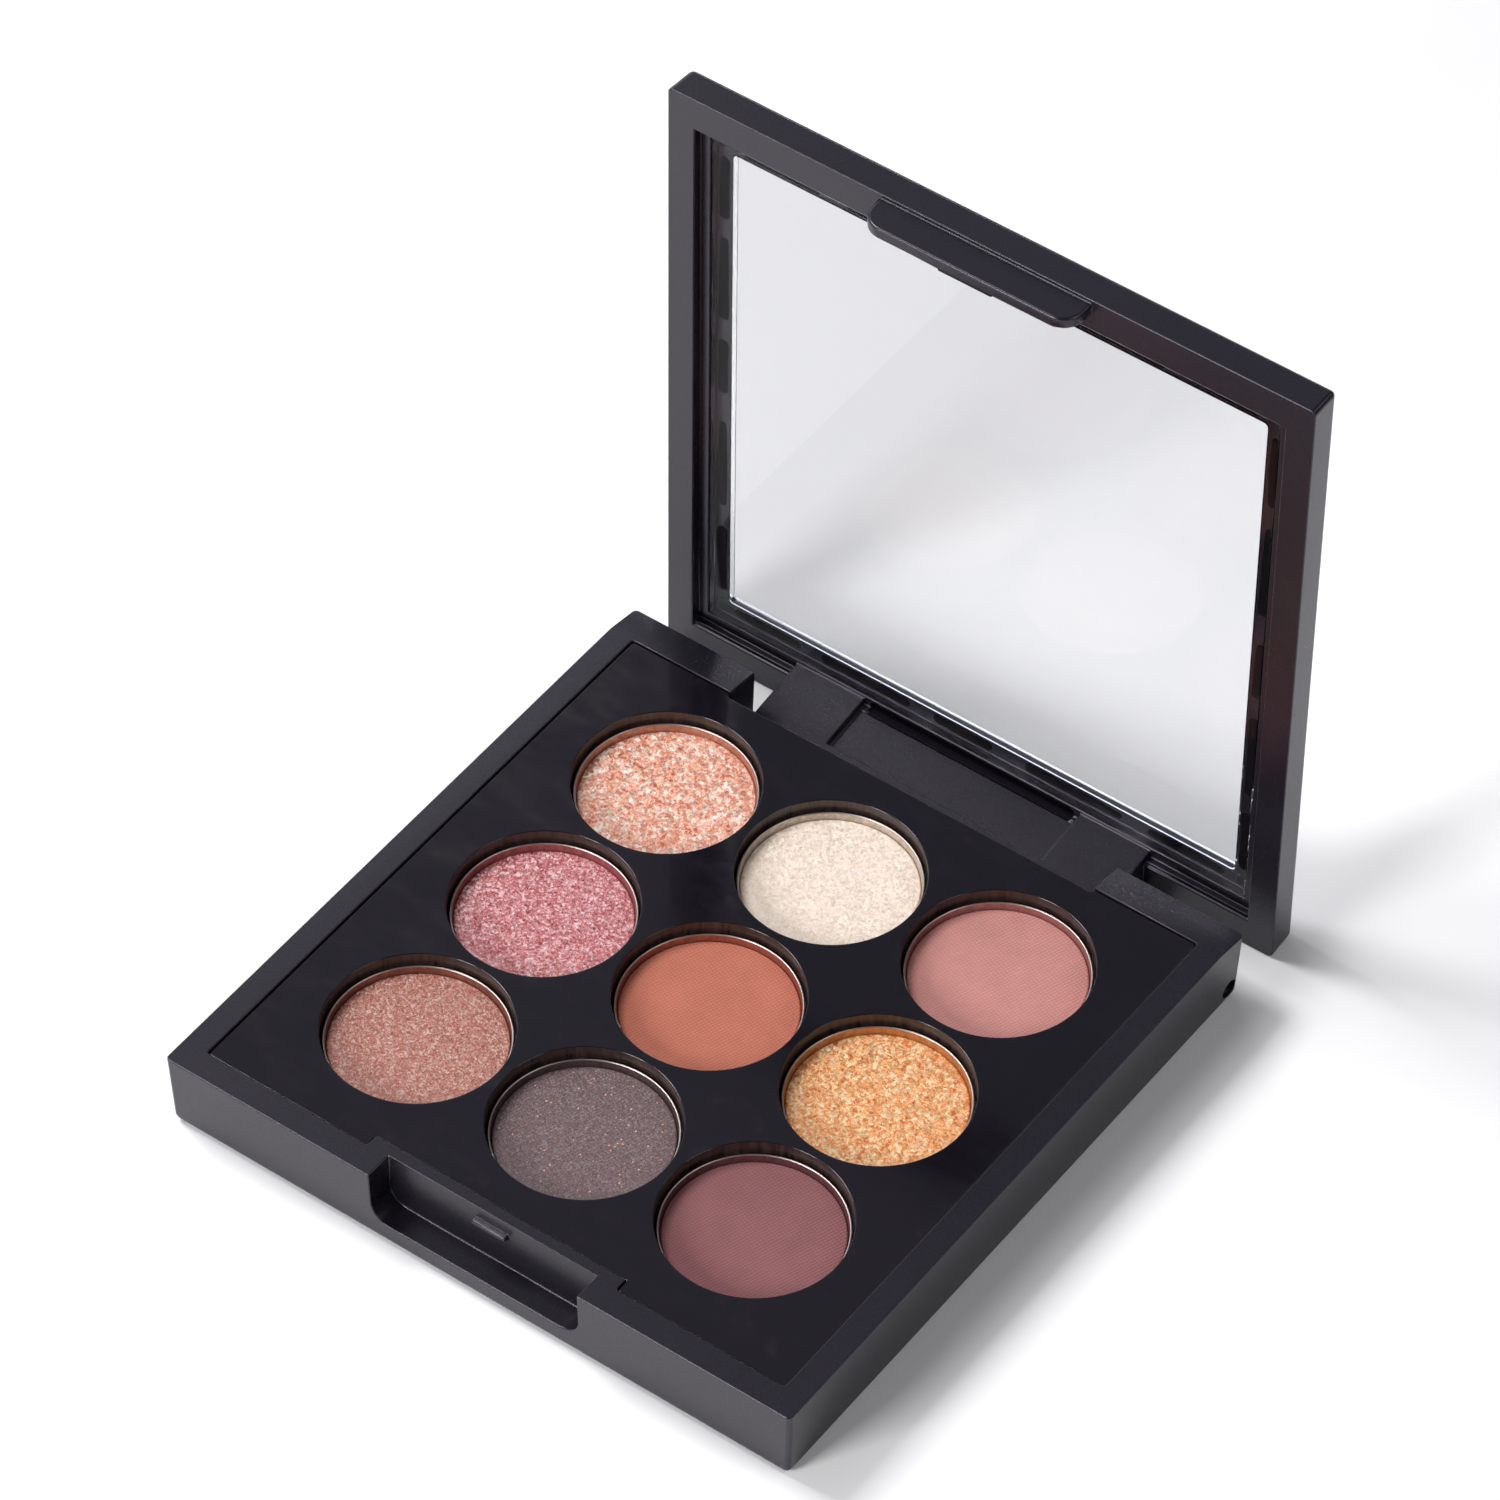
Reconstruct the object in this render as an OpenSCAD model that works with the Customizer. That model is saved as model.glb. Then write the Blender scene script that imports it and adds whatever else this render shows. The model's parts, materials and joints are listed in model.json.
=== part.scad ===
// Nine-pan eyeshadow palette with a hinged window lid.
// Millimetres, +Z up. The origin is at the centre of the base's underside,
// the hinge runs along X at the back, and the lid stands open at rest.

/* [Case] */
// Width of the case
case_w = 80; // [78:1:84]
// Depth of the case
case_d = 81.4; // [80:0.2:84]
// Height of the base at its rim
base_h = 9.8; // [9.6:0.1:11]
// Thickness of the lid
lid_t = 4.2; // [4.1:0.1:5]
// Thickness of the base floor
floor_t = 1.2; // [0.8:0.1:1.4]
// How far the base walls lean in from the rim to the foot
base_draft = 0.4; // [0:0.1:0.5]
// How far the lid edges lean in from the rim to the outer face
lid_draft = 0.15; // [0:0.05:0.3]
// Rounding of the edges round the foot
foot_r = 1; // [0.5:0.1:1.4]
// Rounding of the edges round the lid's outer face
lid_edge_r = 0.8; // [0.4:0.1:1]
// Rounding of the upright corners
corner_r = 0.6; // [0.3:0.1:1]
// Opening angle of the lid, 0 is closed
lid_angle = 90; // [0:5:90]

/* [Tray] */
// Drop from the base rim to the top of the tray
tray_drop = 0.25; // [0.1:0.05:0.4]
// Thickness of the tray's top plate
tray_t = 1.2; // [0.8:0.1:1.4]
// Width of the tray
tray_w = 73.7; // [73:0.1:74]
// Groove between the tray and the base wall
tray_gap = 0.25; // [0.15:0.05:0.35]
// Diameter of the wells in the tray
well_d = 20.6; // [20.4:0.1:20.8]
// Wall round each well below the plate
well_wall = 0.9; // [0.6:0.1:1]
// Distance between neighbouring wells
pan_pitch = 21.65; // [21.4:0.05:21.8]

/* [Pans] */
// Outer diameter of a pan at its rim
pan_d = 20; // [19.8:0.05:20.2]
// Height of a pan
pan_h = 3.85; // [3.35:0.1:4.15]
// How far a pan's wall leans in from its rim to its foot
pan_draft = 0.4; // [0.1:0.1:0.6]
// Wall thickness of a pan
pan_wall = 0.3; // [0.2:0.05:0.5]
// Depth of a pan's rim below the top of the tray
pan_drop = 1.45; // [1.15:0.1:1.75]
// Depth of the powder below its pan's rim
powder_drop = 0.8; // [0.4:0.1:1.2]

/* [Hinge] */
// Height of the hinge axis
hinge_z = 2; // [1.95:0.05:2.2]
// Distance from the hinge axis to the back of the case
hinge_back = 1.95; // [1.8:0.05:1.95]
// Width of each ear that holds a pin
ear_w = 16.2; // [14:0.2:17]
// Gap between an ear and the lid's hinge block
ear_gap = 0.5; // [0.3:0.1:0.7]
// Diameter of a hinge pin
pin_d = 2.1; // [1.6:0.1:2.1]
// Clearance round a pin in the lid's bore, on the radius
pin_play = 0.05; // [0.02:0.01:0.1]
// Depth of the pin's end inside the hole in the side of the base
pin_recess = 1.2; // [0.5:0.1:2]

/* [Latch] */
// Width of the thumb notch
notch_w = 26.6; // [24:0.2:27]
// Depth of the thumb notch
notch_d = 3.4; // [3:0.1:3.4]
// Height of the notch floor above the table
notch_z = 2.95; // [2:0.05:4]
// Width of the lid's latch tab
tab_w = 26.2; // [22:0.2:26.2]
// Length of the latch tab below the lid
tab_l = 3.9; // [3:0.1:4.2]
// Thickness of the latch tab
tab_t = 1.35; // [1:0.05:1.4]

/* [Window] */
// Width of the lid's rim at the sides
rim_side = 3.4; // [3:0.1:3.6]
// Width of the lid's rim at the front and the back
rim_end = 4.1; // [4:0.1:4.2]
// Depth of the first step inside the rim
shelf_depth = 1.2; // [1:0.1:1.4]
// Width of that step
shelf_w = 1.25; // [1:0.05:1.4]
// Depth of the ledge that the pane is glued to
ledge_depth = 2.9; // [2.6:0.1:3]
// Width of that ledge
ledge_w = 2.05; // [1.6:0.05:2.2]

/* [Hidden] */
$fn = 64;

half_w = case_w / 2;
half_d = case_d / 2;
cut = 1;                      // how far a cutting solid overshoots a face

// Tray and wells
tray_top = base_h - tray_drop;
tray_front = -half_d + 3.3;
tray_step_y = -half_d + 4.9;  // the tray steps back behind the thumb notch
tray_step_x = 16.1;
tray_back = half_d - 5.05;
tray_back_side = half_d - 4.6; // the tray reaches further back beside the hinge
glue_t = 0.1;
pan_top = tray_top - pan_drop;
pan_bottom = pan_top - pan_h;
well_floor = pan_bottom - glue_t;
well_floor_t = 1;
well_r = well_d / 2;
post_d = 5;
post_bottom = floor_t + glue_t;
powder_edge = 0.2;            // bevel round the top of a cake of powder
ear_front = tray_back_side + tray_gap;
ear_slope = 0.75;             // drop of the ear tops towards the back
back_wall_y = half_d - 4.75;  // back of the wall that closes the base between the ears
back_wall_t = 1.3;
back_wall_z = 0.5;
back_wall_top = tray_top - tray_t - 0.05;

// Hinge
hinge_y = half_d - hinge_back;
gap_x = half_w - ear_w;
block_x = gap_x - ear_gap;
pin_r = pin_d / 2;
ear_bore_r = pin_r + 0.02;
lid_bore_r = pin_r + pin_play;
pin_engage = 7;               // length of pin inside the lid's block
bore_extra = 0.3;             // the lid's blind bore runs past the pin
block_draft = 8.6;
block_front = half_d - 4.8;   // front of the block, level with the lid's inner face
block_back = half_d - 0.05;
barrel_r = hinge_back;
block_recess_x = 14.25;
block_recess = 0.85;
block_recess_z = 4;

// Lid, described closed
lid_z = base_h + 0.03;
lid_top = lid_z + lid_t;
shelf_z = lid_z + shelf_depth;
ledge_z = lid_z + ledge_depth;
rim_x = half_w - rim_side;
rim_y = half_d - rim_end;
rim_step = 0.35;              // small step along the rim's inner edge at the hinge
pocket_x = rim_x - shelf_w;
pocket_y = rim_y - shelf_w;
window_x = pocket_x - ledge_w;
window_y = pocket_y - ledge_w;
pane_play = 0.1;
pane_z = shelf_z + 0.05;
pane_lap = 0.2;               // how far the raised middle runs into the flange
window_r = 0.5;
bead_w = 1.2;
BEADS = [[-27, 10], [-12.5, 13], [2, 8], [15, 12], [28, 9]]; // centre and length along a side

// Latch
tab_front = -half_d + 0.5;
tab_back = tab_front + tab_t;
tab_bottom = lid_z - tab_l;
tab_r = 2.5;
notch_back = -half_d + notch_d;
notch_r = 2.4;
bump_w = 4.5;
bump_proud = 0.75;
bump_top = base_h - 1.5;
bump_h = 0.9;
bump_lead = 0.15;             // slope on top of the bump's tip
bump_ramp = 0.3;              // slope under the bump's tip
ridge_w = 6.7;
ridge_proud = 0.65;
ridge_h = 0.8;
ridge_lift = 0.2;             // height of the ridge above the end of the tab
ridge_lead = 0.2;             // slope under the ridge's tip
ridge_root = 0.5;             // how far the ridge runs into the tab

// Points round an arc
function arc(cx, cy, r, from, to, steps = 6) =
    [for (i = [0:steps]) [cx + r * cos(from + (to - from) * i / steps),
                          cy + r * sin(from + (to - from) * i / steps)]];

// Outline of a rectangle with rounded corners, centred on the origin
function round_box(hx, hy, r) =
    concat(arc(hx - r, hy - r, r, 0, 90), arc(-hx + r, hy - r, r, 90, 180),
           arc(-hx + r, -hy + r, r, 180, 270), arc(hx - r, -hy + r, r, 270, 360));

// Section through the base: rounded foot and leaning walls, lower at the back if sloped
function base_section(half, slope, slope_l) =
    concat(arc(-half + base_draft + foot_r, foot_r, foot_r, 180, 270),
           arc(half - base_draft - foot_r, foot_r, foot_r, 270, 360),
           [[half, base_h - slope], [half - slope_l, base_h], [-half, base_h]]);

// Section through the lid: rounded outer edges and leaning walls
function lid_section(half) =
    concat([[-half, lid_z], [half, lid_z]],
           arc(half - lid_draft - lid_edge_r, lid_top - lid_edge_r, lid_edge_r, 0, 90),
           arc(-half + lid_draft + lid_edge_r, lid_top - lid_edge_r, lid_edge_r, 90, 180));

// Outline of the tray, grown outwards by a gap
function tray_outline(gap, back) =
    [[-tray_w / 2 - gap, tray_front - gap], [-tray_step_x + gap, tray_front - gap],
     [-tray_step_x + gap, tray_step_y - gap], [tray_step_x - gap, tray_step_y - gap],
     [tray_step_x - gap, tray_front - gap], [tray_w / 2 + gap, tray_front - gap],
     [tray_w / 2 + gap, back + gap], [-tray_w / 2 - gap, back + gap]];

// Distance back of the block's leaning front face at a height
function block_face(z) = block_front + (lid_z - z) * tan(block_draft);

// Inner radius of a pan at a height above its underside
function pan_inside(z) = pan_d / 2 - pan_wall - pan_draft * (1 - z / pan_h);

// Centre of a pan, counted from the front left
function spot(i) = [(i % 3 - 1) * pan_pitch, (floor(i / 3) - 1) * pan_pitch];

// Extrudes a Y-Z section along X
module along_x(from, to) translate([from, 0, 0]) rotate([90, 0, 90]) linear_extrude(to - from) children();

// Extrudes an X-Z section along Y
module along_y(from, to) translate([0, to, 0]) rotate([90, 0, 0]) linear_extrude(to - from) children();

// Extrudes an X-Y outline between two heights
module upright(from, to) translate([0, 0, from]) linear_extrude(to - from) children();

// Turns what is described closed about the hinge axis
module hinged() {
    translate([0, hinge_y, hinge_z])
        rotate([-lid_angle, 0, 0])
            translate([0, -hinge_y, -hinge_z])
                children();
}

// Block with leaning walls, from a section across X and one across Y
module base_shell() {
    intersection() {
        along_x(-half_w, half_w) polygon(base_section(half_d, ear_slope, half_d - ear_front));
        along_y(-half_d, half_d) polygon(base_section(half_w, 0, corner_r));
        upright(0, base_h) polygon(round_box(half_w, half_d, corner_r));
    }
}

// Recess for the thumb, open to the front and the top
module thumb_notch() {
    along_y(-half_d - cut, notch_back)
        polygon(concat(arc(-notch_w / 2 + notch_r, notch_z + notch_r, notch_r, 180, 270),
                       arc(notch_w / 2 - notch_r, notch_z + notch_r, notch_r, 270, 360),
                       [[notch_w / 2, base_h + cut], [-notch_w / 2, base_h + cut]]));
}

// Bump that the lid's ridge snaps under
module catch_bump() {
    along_x(-bump_w / 2, bump_w / 2)
        polygon([[notch_back + cut, bump_top], [notch_back - bump_proud, bump_top - bump_lead],
                 [notch_back - bump_proud, bump_top - bump_h + bump_ramp],
                 [notch_back, bump_top - bump_h],
                 [notch_back + cut, bump_top - bump_h]]);
}

// One hole through each ear, side is -1 on the left and 1 on the right
module ear_bore(side) {
    translate([side * (half_w + cut), hinge_y, hinge_z])
        rotate([0, -90 * side, 0])
            cylinder(h = ear_w + 2 * cut, r = ear_bore_r);
}

module base_case() {
    color("#2c2b30")
    union() {
        difference() {
            base_shell();
            upright(floor_t, base_h + cut) polygon(tray_outline(tray_gap, tray_back_side));
            thumb_notch();
            translate([-gap_x, back_wall_y, -cut]) cube([2 * gap_x, half_d, base_h + 2 * cut]);
            for (side = [-1, 1]) ear_bore(side);
        }
        translate([-gap_x - cut, back_wall_y - back_wall_t, back_wall_z])
            cube([2 * (gap_x + cut), back_wall_t, back_wall_top - back_wall_z]);
        catch_bump();
    }
}

module pan_tray() {
    color("#101014")
    difference() {
        union() {
            upright(tray_top - tray_t, tray_top)
                difference() {
                    polygon(tray_outline(0, tray_back_side));
                    translate([-gap_x, tray_back]) square([2 * gap_x, half_d]);
                }
            for (i = [0:8])
                translate(concat(spot(i), post_bottom))
                    cylinder(h = tray_top - post_bottom - tray_t / 2, r = well_r + well_wall);
            for (x = [-0.5, 0.5], y = [-0.5, 0.5])
                translate([x * pan_pitch, y * pan_pitch, post_bottom])
                    cylinder(h = tray_top - post_bottom - tray_t / 2, d = post_d);
        }
        for (i = [0:8]) {
            translate(concat(spot(i), well_floor)) cylinder(h = tray_top, r = well_r);
            translate(concat(spot(i), 0)) cylinder(h = well_floor - well_floor_t, r = well_r);
        }
    }
}

module tray_glue() {
    color("#c8c6b8")
    for (x = [-0.5, 0.5], y = [-0.5, 0.5])
        translate([x * pan_pitch, y * pan_pitch, floor_t])
            cylinder(h = glue_t, d = post_d - 1);
}

module pan_glue() {
    color("#c8c6b8")
    for (i = [0:8])
        translate(concat(spot(i), well_floor)) cylinder(h = glue_t, d = pan_d / 3);
}

module pan(i) {
    color("#b9babd")
    translate(concat(spot(i), pan_bottom))
        difference() {
            cylinder(h = pan_h, r1 = pan_d / 2 - pan_draft, r2 = pan_d / 2);
            translate([0, 0, pan_wall])
                cylinder(h = pan_h, r1 = pan_inside(pan_wall), r2 = pan_inside(pan_wall + pan_h));
        }
}

module powder(i, tint) {
    side_h = pan_h - pan_wall - powder_drop - powder_edge;
    top_r = pan_inside(pan_wall + side_h);
    color(tint)
    translate(concat(spot(i), pan_bottom + pan_wall)) {
        cylinder(h = side_h, r1 = pan_inside(pan_wall), r2 = top_r);
        translate([0, 0, side_h]) cylinder(h = powder_edge, r1 = top_r, r2 = top_r - powder_edge);
    }
}

// side is -1 on the left and 1 on the right
module hinge_pin(side) {
    color("#8e9094")
    translate([side * (half_w - pin_recess), hinge_y, hinge_z])
        rotate([0, -90 * side, 0])
            cylinder(h = ear_w - pin_recess + ear_gap + pin_engage, r = pin_r);
}

// Part of the lid that reaches down between the ears
module hinge_block() {
    difference() {
        union() {
            along_x(-block_x, block_x)
                polygon([[block_face(shelf_z), shelf_z], [block_face(hinge_z), hinge_z],
                         [block_back, hinge_z], [block_back, shelf_z]]);
            translate([-block_x, hinge_y, hinge_z])
                rotate([0, 90, 0]) cylinder(h = 2 * block_x, r = barrel_r);
        }
        along_x(-block_recess_x, block_recess_x)
            polygon([[block_face(shelf_z + cut) - cut, shelf_z + cut],
                     [block_face(block_recess_z) - cut, block_recess_z],
                     [block_face(block_recess_z) + block_recess, block_recess_z],
                     [block_face(shelf_z + cut) + block_recess, shelf_z + cut]]);
        for (side = [-1, 1])
            translate([side * (block_x + cut), hinge_y, hinge_z])
                rotate([0, -90 * side, 0])
                    cylinder(h = pin_engage + bore_extra + cut, r = lid_bore_r);
    }
}

// Tab that hangs into the thumb notch, with the ridge that snaps under the bump
module latch_tab() {
    ridge_bottom = tab_bottom + ridge_lift;
    along_y(tab_front, tab_back)
        polygon(concat(arc(-tab_w / 2 + tab_r, tab_bottom + tab_r, tab_r, 180, 270),
                       arc(tab_w / 2 - tab_r, tab_bottom + tab_r, tab_r, 270, 360),
                       [[tab_w / 2, lid_z + cut], [-tab_w / 2, lid_z + cut]]));
    along_x(-ridge_w / 2, ridge_w / 2)
        polygon([[tab_back - ridge_root, ridge_bottom], [tab_back, ridge_bottom],
                 [tab_back + ridge_proud, ridge_bottom + ridge_lead],
                 [tab_back + ridge_proud, ridge_bottom + ridge_h / 2],
                 [tab_back, ridge_bottom + ridge_h], [tab_back - ridge_root, ridge_bottom + ridge_h]]);
}

module lid_frame() {
    color("#2c2b30")
    hinged() {
        difference() {
            intersection() {
                along_x(-half_w, half_w) polygon(lid_section(half_d));
                along_y(-half_d, half_d) polygon(lid_section(half_w));
                upright(lid_z, lid_top) polygon(round_box(half_w, half_d, corner_r));
            }
            translate([-rim_x, -rim_y, lid_z - cut]) cube([2 * rim_x, 2 * rim_y, shelf_depth + cut]);
            translate([-rim_x, rim_y - cut, lid_z - cut]) cube([2 * rim_x, cut + rim_step, cut + rim_step]);
            translate([-pocket_x, -pocket_y, lid_z]) cube([2 * pocket_x, 2 * pocket_y, ledge_depth]);
            upright(lid_z, lid_top + cut) polygon(round_box(window_x, window_y, window_r));
        }
        hinge_block();
        latch_tab();
    }
}

module window_pane() {
    color("#dfe3ea", 0.4)
    hinged() {
        translate([-pocket_x + pane_play, -pocket_y + pane_play, pane_z])
            cube([2 * (pocket_x - pane_play), 2 * (pocket_y - pane_play), ledge_z - glue_t - pane_z]);
        upright(ledge_z - glue_t - pane_lap, lid_top - pane_play)
            polygon(round_box(window_x - pane_play, window_y - pane_play, window_r));
    }
}

// A flat bead of glue with round ends, centred on the origin
module glue_bead(length) {
    straight = length - bead_w;
    linear_extrude(glue_t) polygon(concat(arc(straight / 2, 0, bead_w / 2, -90, 90),
                                          arc(-straight / 2, 0, bead_w / 2, 90, 270)));
}

module window_glue() {
    color("#3a3336")
    hinged()
        for (turn = [0:90:270], bead = BEADS)
            rotate([0, 0, turn])
                translate([bead[0], -pocket_y + ledge_w / 2 + (turn % 180 == 0 ? 0 : pocket_y - pocket_x),
                           ledge_z - glue_t])
                    glue_bead(bead[1]);
}

base_case();
pan_tray();
tray_glue();
pan_glue();
pan(0);  // pan_front_left
pan(1);  // pan_front_centre
pan(2);  // pan_front_right
pan(3);  // pan_middle_left
pan(4);  // pan_middle_centre
pan(5);  // pan_middle_right
pan(6);  // pan_back_left
pan(7);  // pan_back_centre
pan(8);  // pan_back_right
powder(0, "#a86a5c");  // powder_front_left
powder(1, "#685a5a");  // powder_front_centre
powder(2, "#8a5558");  // powder_front_right
powder(3, "#b06e78");  // powder_middle_left
powder(4, "#bc6446");  // powder_middle_centre
powder(5, "#d79a5c");  // powder_middle_right
powder(6, "#dea08c");  // powder_back_left
powder(7, "#e6d6c0");  // powder_back_centre
powder(8, "#c4827c");  // powder_back_right
hinge_pin(-1);  // hinge_pin_left
hinge_pin(1);  // hinge_pin_right
lid_frame();
window_pane();
window_glue();
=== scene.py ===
"""Nine-pan eyeshadow palette with a hinged window lid, standing open on a pale floor."""
import json
import math
import random

import bpy
from mathutils import Matrix, Vector


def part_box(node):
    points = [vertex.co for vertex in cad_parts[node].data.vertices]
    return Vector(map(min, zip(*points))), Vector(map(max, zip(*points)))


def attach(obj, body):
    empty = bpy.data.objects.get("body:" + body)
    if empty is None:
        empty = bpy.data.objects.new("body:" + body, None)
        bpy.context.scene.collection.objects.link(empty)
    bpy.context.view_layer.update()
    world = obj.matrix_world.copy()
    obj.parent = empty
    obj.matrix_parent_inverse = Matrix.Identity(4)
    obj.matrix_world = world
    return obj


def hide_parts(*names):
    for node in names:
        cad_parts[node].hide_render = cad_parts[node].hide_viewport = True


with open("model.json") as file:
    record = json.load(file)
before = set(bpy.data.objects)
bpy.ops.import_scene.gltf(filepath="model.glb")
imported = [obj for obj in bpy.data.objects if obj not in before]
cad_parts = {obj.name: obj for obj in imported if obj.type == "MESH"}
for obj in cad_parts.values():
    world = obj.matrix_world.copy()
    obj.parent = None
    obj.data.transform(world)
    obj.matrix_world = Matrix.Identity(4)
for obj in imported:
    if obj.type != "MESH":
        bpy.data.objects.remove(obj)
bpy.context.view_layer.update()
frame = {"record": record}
record = frame["record"]
MM = 0.001

# ---------------------------------------------------------------- sizes from the frame
PLACES = [row + "_" + column
          for row in ("front", "middle", "back") for column in ("left", "centre", "right")]
pan_boxes = {spot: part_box("pan_" + spot) for spot in PLACES}
powder_boxes = {spot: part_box("powder_" + spot) for spot in PLACES}
base_low, base_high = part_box("base_case")
tray_low, tray_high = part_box("pan_tray")
lid_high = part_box("lid_frame")[1]
pan_low, pan_high = pan_boxes["middle_centre"]
cake_low, cake_high = powder_boxes["middle_centre"]
hinge = Vector(record["behaviour"]["joints"][0]["pos_m"])
half_w = base_high.x
half_d = base_high.y
rim_z = base_high.z
pan_pitch = (pan_boxes["back_right"][0] - pan_low).x
pan_r = (pan_high - pan_low).x / 2
powder_r = (cake_high - cake_low).x / 2

# ---------------------------------------------------------------- sizes shared by the mouldings, in metres
past = 1 * MM                                   # how far a cutting tool reaches past its work
weld = 0.002 * MM                               # points closer than this are merged
fine_weld = 0.0005 * MM                         # the same, for turned parts
SHARP = math.radians(32)                        # edges that turn by more than this are broken
case_edge_r = 0.16 * MM                         # broken edges of the case and the lid
corner_r = 0.6 * MM                             # upright corners of the case and the lid
pin_r = 1.05 * MM
pin_play = 0.05 * MM

# ---------------------------------------------------------------- sizes of the base
floor_t = 1.2 * MM
base_draft = 0.4 * MM                           # how far the walls lean in over their height
foot_r = 1.0 * MM
tray_gap = 0.10 * MM                            # groove round the tray
bed_corner_r = 0.4 * MM                         # upright corners of the recess for the tray
step_x = 16.1 * MM                              # the tray steps back between -step_x and step_x
step_y = -half_d + 4.9 * MM
ear_gap_x = half_w - 16.2 * MM                  # inner faces of the hinge ears
ear_slope = 0.75 * MM                           # fall of the ears' tops towards the back
ear_front = tray_high.y + tray_gap
pin_hole_x = half_w - 7 * MM
pin_hole_l = 20 * MM
notch_x = 13.3 * MM                             # half width, back wall and floor of the thumb notch
notch_y = -half_d + 3.4 * MM
notch_z = 2.95 * MM
notch_r = 2.4 * MM
catch_x = 2.25 * MM                             # half width, root, reach and heights of the catch bump
catch_root = 0.3 * MM
catch_reach = 0.74 * MM
catch_z = (7.4 * MM, 8.3 * MM)
catch_crest_z = 7.95 * MM
catch_taper = (0.94, 1, 0.6)

# ---------------------------------------------------------------- sizes of the tray, pans and powders
tray_t = 1.2 * MM
tray_edge_r = 0.11 * MM
tray_corner_r = 0.3 * MM
tray_back_step_y = half_d - 5.05 * MM           # the tray is cut back here, between the ears
well_r = pan_r + 0.3 * MM
well_wall = 0.9 * MM
well_floor = pan_low.z - 0.1 * MM
well_floor_t = 1 * MM
well_bore_l = 10 * MM
post_r = 2.5 * MM
back_wall_y = half_d - 4.75 * MM                # wall of the base behind the tray
back_wall_t = 1.3 * MM
back_wall_foot = 0.5 * MM
back_wall_top = tray_high.z - tray_t - 0.05 * MM
pan_wall = 0.24 * MM
pan_draft = 0.4 * MM
pan_inner_foot_r = 0.3 * MM
pan_outer_foot_r = 0.5 * MM
cake_play = 0.01 * MM
cake_shoulder_r = 0.2 * MM
cake_draft = 0.26 * MM
cake_rings = 64
cake_skin_t = 0.15 * MM                         # depth of the skin that is made uneven
COARSE_TOP = (0.12 * MM, 0.5 * MM)              # height and width of the unevenness
FINE_TOP = (0.03 * MM, 2.5 * MM)
glue_edge_r = 0.03 * MM
tray_glue_r = 2 * MM
pin_edge_r = 0.2 * MM

# ---------------------------------------------------------------- sizes of the lid, described closed
lid_z = rim_z + 0.03 * MM                       # seam between the base and the lid
lid_top = hinge.z + lid_high.y - hinge.y
lid_draft = 0.15 * MM
lid_edge_r = 0.8 * MM
rim_x = half_w - 3.4 * MM                       # inner walls of the lid
rim_y = half_d - 4.1 * MM
mouth_step = 0.35 * MM                          # small step at the foot of the back wall
shelf_z = lid_z + 1.2 * MM                      # first step inside the lid
shelf_w = 1.25 * MM
ledge_z = lid_z + 2.9 * MM                      # second step, to which the pane is glued
ledge_w = 2.05 * MM
pocket_x = rim_x - shelf_w
pocket_y = rim_y - shelf_w
window_x = pocket_x - ledge_w
window_y = pocket_y - ledge_w
window_corner_r = 0.5 * MM
barrel_r = 1.95 * MM
block_x = ear_gap_x - 0.5 * MM                  # half width of the hinge block
block_lean = math.radians(8.6)
block_front = half_d - 4.8 * MM
recess_x = 14.25 * MM                           # shallow recess in the front of the hinge block
recess_depth = 0.85 * MM
recess_foot = 4 * MM
recess_corner_r = 0.5 * MM
slot_x = 13.4 * MM                              # slot that the mould leaves above the recess
slot_y = (rim_y - 0.85 * MM, rim_y + 0.25 * MM)
slot_z = (lid_z + 0.3 * MM, lid_z + 3.2 * MM)
slot_corner_r = 0.5 * MM
bore_l = 8.3 * MM                               # the pins' bores in the hinge block
tab_x = 13.1 * MM                               # latch tab and the ridge that snaps past the catch
tab_y = (-half_d + 0.5 * MM, -half_d + 1.85 * MM)
tab_z = lid_z - 3.9 * MM
tab_corner_r = 2.5 * MM
tab_edge_r = 0.3 * MM
ridge_x = 3.35 * MM
ridge_y = (tab_y[1] - 0.5 * MM, tab_y[1] + 0.62 * MM)
ridge_z = (tab_z + 0.2 * MM, tab_z + 1 * MM)
ridge_edge_r = 0.2 * MM
pane_play = 0.1 * MM
pane_edge_r = 0.12 * MM
flange_z = (shelf_z + 0.05 * MM, ledge_z - 0.1 * MM)
flange_overlap = 0.5 * MM                       # how far the raised field reaches into the flange
bead_r = 0.6 * MM
bead_t = 0.09 * MM
bead_drop = 0.075 * MM                          # from the ledge to the middle of a bead
BEADS = ((-27, 10), (-12.5, 13), (2, 8), (15, 12), (28, 9))     # centre and length, in millimetres


# ---------------------------------------------------------------- modelling helpers
def nothing_selected():
    """Leaves edit mode and deselects everything."""
    if bpy.context.object and bpy.context.object.mode != "OBJECT":
        bpy.ops.object.mode_set(mode="OBJECT")
    bpy.ops.object.select_all(action="DESELECT")


def work_on(piece):
    """Makes one piece the only selected and active object."""
    nothing_selected()
    piece.select_set(True)
    bpy.context.view_layer.objects.active = piece


def new_piece(name):
    """Names the primitive just added and puts its place and size in its mesh."""
    piece = bpy.context.object
    piece.name = name
    piece.data.name = name
    bpy.ops.object.transform_apply(location=True, rotation=True, scale=True)
    return piece


def box(name, low, high):
    """A block between two corners."""
    nothing_selected()
    low, high = Vector(low), Vector(high)
    bpy.ops.mesh.primitive_cube_add(size=1, location=(low + high) / 2, scale=high - low)
    return new_piece(name)


def rod(name, centre, radius, length, axis="Z", sides=64):
    """A round bar along one axis."""
    nothing_selected()
    turn = {"X": (0, math.pi / 2, 0), "Z": (0, 0, 0)}[axis]
    bpy.ops.mesh.primitive_cylinder_add(vertices=sides, radius=radius, depth=length,
                                        location=centre, rotation=turn)
    return new_piece(name)


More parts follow.
